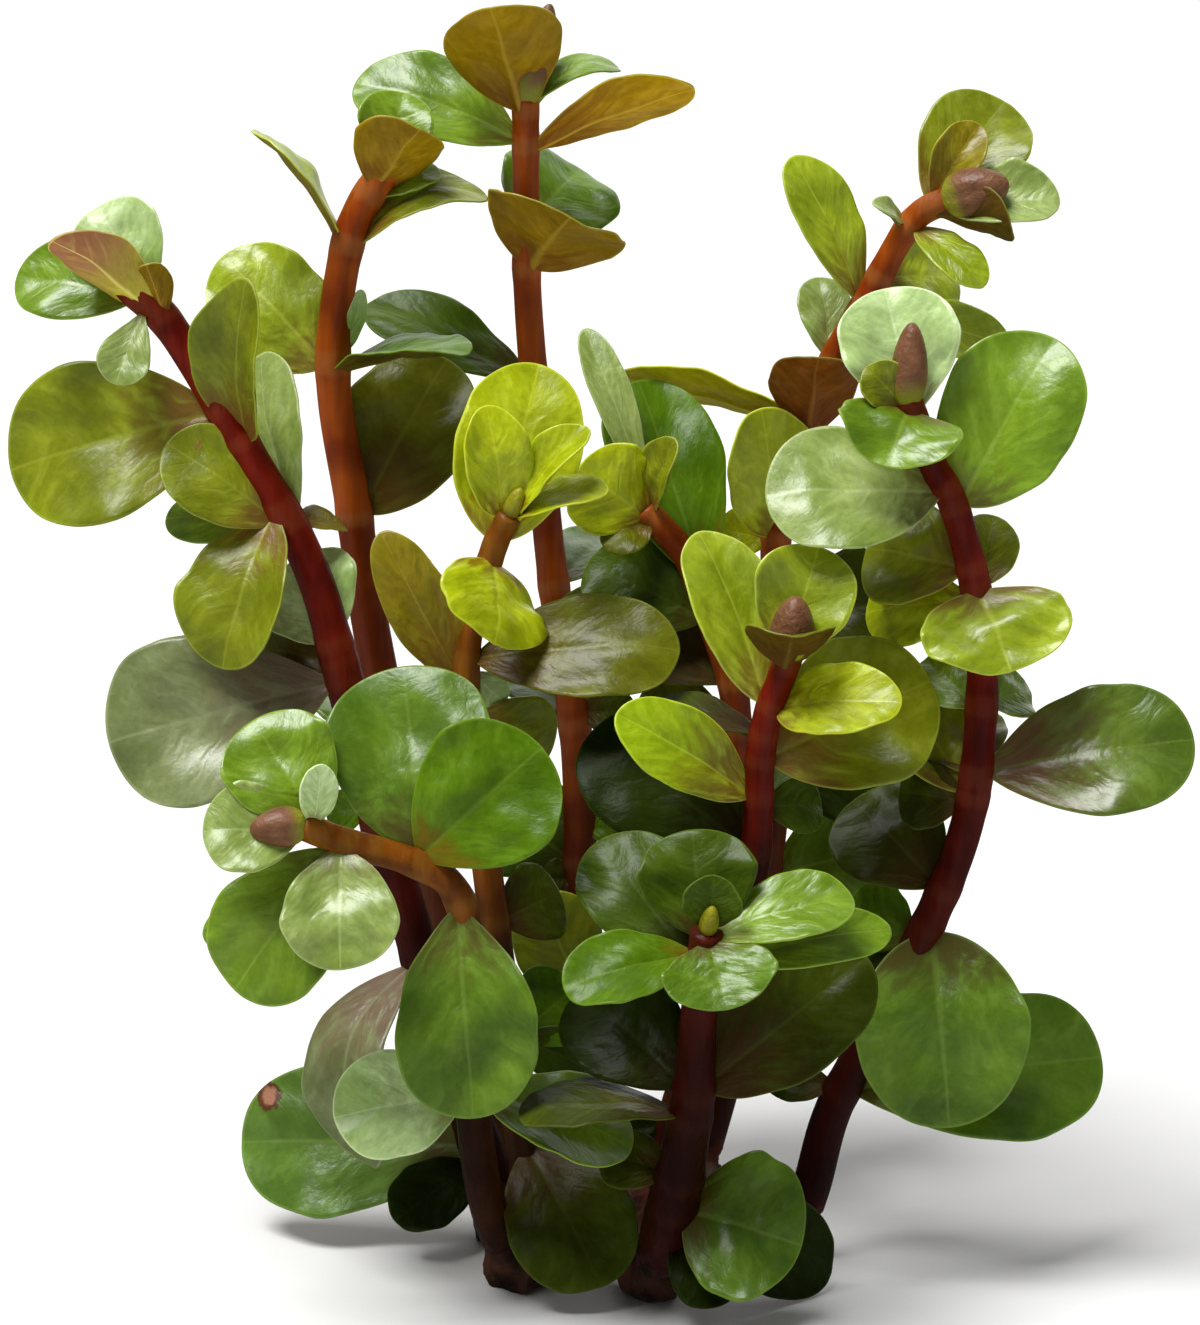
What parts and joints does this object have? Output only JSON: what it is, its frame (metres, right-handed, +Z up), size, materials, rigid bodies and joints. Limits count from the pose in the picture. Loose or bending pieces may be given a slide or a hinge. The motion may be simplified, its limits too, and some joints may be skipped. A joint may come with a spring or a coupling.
{
  "type": "indian toothcup plant",
  "caption": "Bushy clump of a creeping water plant: red-brown shoots with rounded glossy leaves in pairs, on a flat-cut rootstock.",
  "frame": {"origin": "on the flat cut under the rootstock, at its main fork", "axes": "+Z up along the growth of the shoots, -Y towards the front that the picture shows, +X to its right"},
  "size_m": [0.0926, 0.0565, 0.1003],
  "materials": {
    "leaf": "waxy, half gloss",
    "stem": "smooth, half gloss",
    "rootstock": "matt, fibrous"
  },
  "bodies": {
    "root": {"leaf_back_1": "leaf", "leaf_back_2": "leaf", "leaf_back_3": "leaf", "leaf_back_4": "leaf", "leaf_back_5": "leaf", "leaf_back_left_1": "leaf", "leaf_back_left_2": "leaf", "leaf_back_left_3": "leaf", "leaf_back_left_4": "leaf", "leaf_back_left_5": "leaf", "leaf_back_right_1": "leaf", "leaf_back_right_2": "leaf", "leaf_back_right_3": "leaf", "leaf_back_right_4": "leaf", "leaf_back_right_5": "leaf", "leaf_front_1": "leaf", "leaf_front_2": "leaf", "leaf_front_3": "leaf", "leaf_front_4": "leaf", "leaf_front_5": "leaf", "leaf_front_6": "leaf", "leaf_front_left_1": "leaf", "leaf_front_left_2": "leaf", "leaf_front_left_3": "leaf", "leaf_front_left_4": "leaf", "leaf_front_left_5": "leaf", "leaf_front_left_6": "leaf", "leaf_front_left_7": "leaf", "leaf_left_1": "leaf", "leaf_left_2": "leaf", "leaf_left_3": "leaf", "leaf_left_4": "leaf", "leaf_left_5": "leaf", "leaf_mid_1": "leaf", "leaf_mid_left_1": "leaf", "leaf_mid_left_2": "leaf", "leaf_mid_left_3": "leaf", "leaf_mid_left_4": "leaf", "leaf_mid_left_5": "leaf", "leaf_mid_right_1": "leaf", "leaf_mid_right_2": "leaf", "leaf_mid_right_3": "leaf", "leaf_mid_right_4": "leaf", "leaf_right_1": "leaf", "leaf_right_2": "leaf", "leaf_right_3": "leaf", "leaf_right_4": "leaf", "leaf_right_5": "leaf", "leaf_right_6": "leaf", "rootstock": "rootstock", "stem_back": "stem", "stem_back_left": "stem", "stem_back_right": "stem", "stem_front": "stem", "stem_front_left": "stem", "stem_left": "stem", "stem_mid": "stem", "stem_mid_left": "stem", "stem_mid_right": "stem", "stem_right": "stem"}
  },
  "joints": []
}
